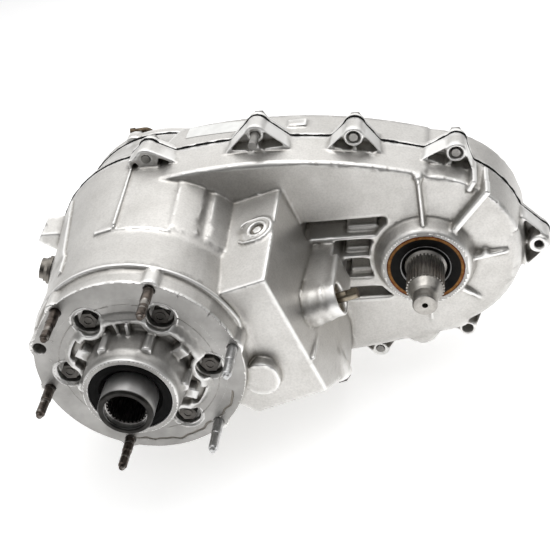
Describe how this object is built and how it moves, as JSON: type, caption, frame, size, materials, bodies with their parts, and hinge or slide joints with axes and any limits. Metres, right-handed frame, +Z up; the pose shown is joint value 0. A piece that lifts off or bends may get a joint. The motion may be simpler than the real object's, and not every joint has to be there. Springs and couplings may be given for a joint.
{
  "type": "transfer case",
  "caption": "Chain drive transfer case with a round studded mounting flange, planetary low range, offset front output shaft and a slip yoke extension housing.",
  "frame": {"origin": "centre of the stud circle on the front face of the mounting flange, on the input shaft's axis", "axes": "+X from the input shaft to the front output shaft, +Y rearwards into the case, +Z up"},
  "size_m": [0.5167, 0.4164, 0.2952],
  "materials": {
    "cast_aluminium": "blasted, as cast",
    "sealant": "cured bead",
    "dark_steel": "oiled black",
    "bolt_steel": "zinc",
    "seal_rubber": "satin",
    "bearing_steel": "ground",
    "machined_steel": "machined",
    "yellow_zinc": "yellow zinc",
    "bronze": "machined",
    "black_plastic": "matte",
    "brown_metal": "aged",
    "white_label": "blank"
  },
  "bodies": {
    "case": {"front_case": "cast_aluminium", "rear_case": "cast_aluminium", "extension_housing": "cast_aluminium", "input_retainer": "cast_aluminium", "case_sealant": "sealant", "extension_sealant": "sealant", "mounting_studs": "dark_steel", "retainer_bolts": "dark_steel", "case_bolts": "bolt_steel", "extension_bolts": "bolt_steel", "input_seal": "seal_rubber", "input_bearing": "bearing_steel", "ring_gear": "machined_steel", "shift_rail": "bearing_steel", "drive_chain": "dark_steel", "front_output_seal": "seal_rubber", "front_output_bearing": "bearing_steel", "output_rear_bearing": "bearing_steel", "main_rear_bearing": "bearing_steel", "oil_pump": "machined_steel", "pickup_tube": "bolt_steel", "speed_sensor": "black_plastic", "rear_seal": "seal_rubber", "rear_bushing": "bronze", "shaft_retainer": "yellow_zinc", "detent_spring": "bearing_steel", "detent_plug": "dark_steel", "switch_port_plug": "dark_steel", "drain_plug": "dark_steel", "fill_plug": "dark_steel", "indicator_switch": "brown_metal", "case_breather": "yellow_zinc", "locating_dowels": "bolt_steel", "chip_magnet": "dark_steel", "label_plate": "white_label"},
    "input": {"input_gear": "machined_steel"},
    "carrier": {"planet_carrier": "machined_steel", "planet_pins": "bearing_steel"},
    "planet_1": {"planet_gear_1": "machined_steel"},
    "planet_2": {"planet_gear_2": "machined_steel"},
    "planet_3": {"planet_gear_3": "machined_steel"},
    "planet_4": {"planet_gear_4": "machined_steel"},
    "planet_5": {"planet_gear_5": "machined_steel"},
    "planet_6": {"planet_gear_6": "machined_steel"},
    "main_line": {"main_shaft": "machined_steel", "mode_hub": "machined_steel", "drive_sprocket": "machined_steel", "speed_ring": "machined_steel"},
    "range_sleeve_body": {"range_sleeve": "machined_steel"},
    "mode_sleeve_body": {"mode_sleeve": "machined_steel"},
    "front_output": {"front_output_shaft": "machined_steel", "driven_sprocket": "machined_steel"},
    "range_fork_body": {"range_fork": "cast_aluminium"},
    "mode_fork_body": {"mode_fork": "cast_aluminium"},
    "sector": {"sector_shaft": "yellow_zinc", "sector_plate": "machined_steel"},
    "detent": {"detent_plunger": "bearing_steel"}
  },
  "joints": [
    {"name": "input_spin", "type": "hinge", "parent": "case", "child": "input", "pos_m": [0, 0, 0], "axis": [0, -1, 0], "continuous": true},
    {"name": "carrier_spin", "type": "hinge", "parent": "case", "child": "carrier", "pos_m": [0, 0, 0], "axis": [0, -1, 0], "continuous": true},
    {"name": "planet_1_spin", "type": "hinge", "parent": "carrier", "child": "planet_1", "pos_m": [0.06187, 0.04, 0], "axis": [0, -1, 0], "continuous": true},
    {"name": "planet_2_spin", "type": "hinge", "parent": "carrier", "child": "planet_2", "pos_m": [0.03094, 0.04, 0.05359], "axis": [0, -1, 0], "continuous": true},
    {"name": "planet_3_spin", "type": "hinge", "parent": "carrier", "child": "planet_3", "pos_m": [-0.03094, 0.04, 0.05359], "axis": [0, -1, 0], "continuous": true},
    {"name": "planet_4_spin", "type": "hinge", "parent": "carrier", "child": "planet_4", "pos_m": [-0.06187, 0.04, 0], "axis": [0, -1, 0], "continuous": true},
    {"name": "planet_5_spin", "type": "hinge", "parent": "carrier", "child": "planet_5", "pos_m": [-0.03094, 0.04, -0.05359], "axis": [0, -1, 0], "continuous": true},
    {"name": "planet_6_spin", "type": "hinge", "parent": "carrier", "child": "planet_6", "pos_m": [0.03094, 0.04, -0.05359], "axis": [0, -1, 0], "continuous": true},
    {"name": "main_shaft_spin", "type": "hinge", "parent": "case", "child": "main_line", "pos_m": [0, 0, 0], "axis": [0, -1, 0], "continuous": true},
    {"name": "front_output_spin", "type": "hinge", "parent": "case", "child": "front_output", "pos_m": [0.257, 0, 0], "axis": [0, -1, 0], "continuous": true},
    {"name": "sector_turn", "type": "hinge", "parent": "case", "child": "sector", "pos_m": [0.15468, 0.073, 0.00428], "axis": [0.9622, 0, 0.2723], "range_deg": [-20, 20]},
    {"name": "range_fork_slide", "type": "slide", "parent": "case", "child": "range_fork_body", "axis": [0, 1, 0], "range_m": [-0.0099, 0.0099]},
    {"name": "mode_fork_slide", "type": "slide", "parent": "case", "child": "mode_fork_body", "axis": [0, 1, 0], "range_m": [-0.006, 0.006]},
    {"name": "range_sleeve_slide", "type": "slide", "parent": "main_line", "child": "range_sleeve_body", "axis": [0, 1, 0], "range_m": [-0.0099, 0.0099]},
    {"name": "mode_sleeve_slide", "type": "slide", "parent": "main_line", "child": "mode_sleeve_body", "axis": [0, 1, 0], "range_m": [-0.006, 0.006]},
    {"name": "detent_press", "type": "slide", "parent": "case", "child": "detent", "axis": [0.2723, 0, -0.9622], "range_m": [0, 0.0012], "stiffness_N_per_m": 900, "springref_m": -0.002}
  ],
  "couplings": [
    {"joint": "carrier_spin", "follows": "input_spin", "ratio": 0.36667},
    {"joint": "planet_1_spin", "follows": "input_spin", "ratio": -1.7417},
    {"joint": "planet_2_spin", "follows": "input_spin", "ratio": -1.7417},
    {"joint": "planet_3_spin", "follows": "input_spin", "ratio": -1.7417},
    {"joint": "planet_4_spin", "follows": "input_spin", "ratio": -1.7417},
    {"joint": "planet_5_spin", "follows": "input_spin", "ratio": -1.7417},
    {"joint": "planet_6_spin", "follows": "input_spin", "ratio": -1.7417},
    {"joint": "main_shaft_spin", "follows": "input_spin", "ratio": 1},
    {"joint": "front_output_spin", "follows": "input_spin", "ratio": 1},
    {"joint": "range_fork_slide", "follows": "sector_turn", "m_per_rad": 0.028},
    {"joint": "range_sleeve_slide", "follows": "sector_turn", "m_per_rad": 0.028},
    {"joint": "mode_fork_slide", "follows": "sector_turn", "m_per_rad": -0.016},
    {"joint": "mode_sleeve_slide", "follows": "sector_turn", "m_per_rad": -0.016}
  ]
}
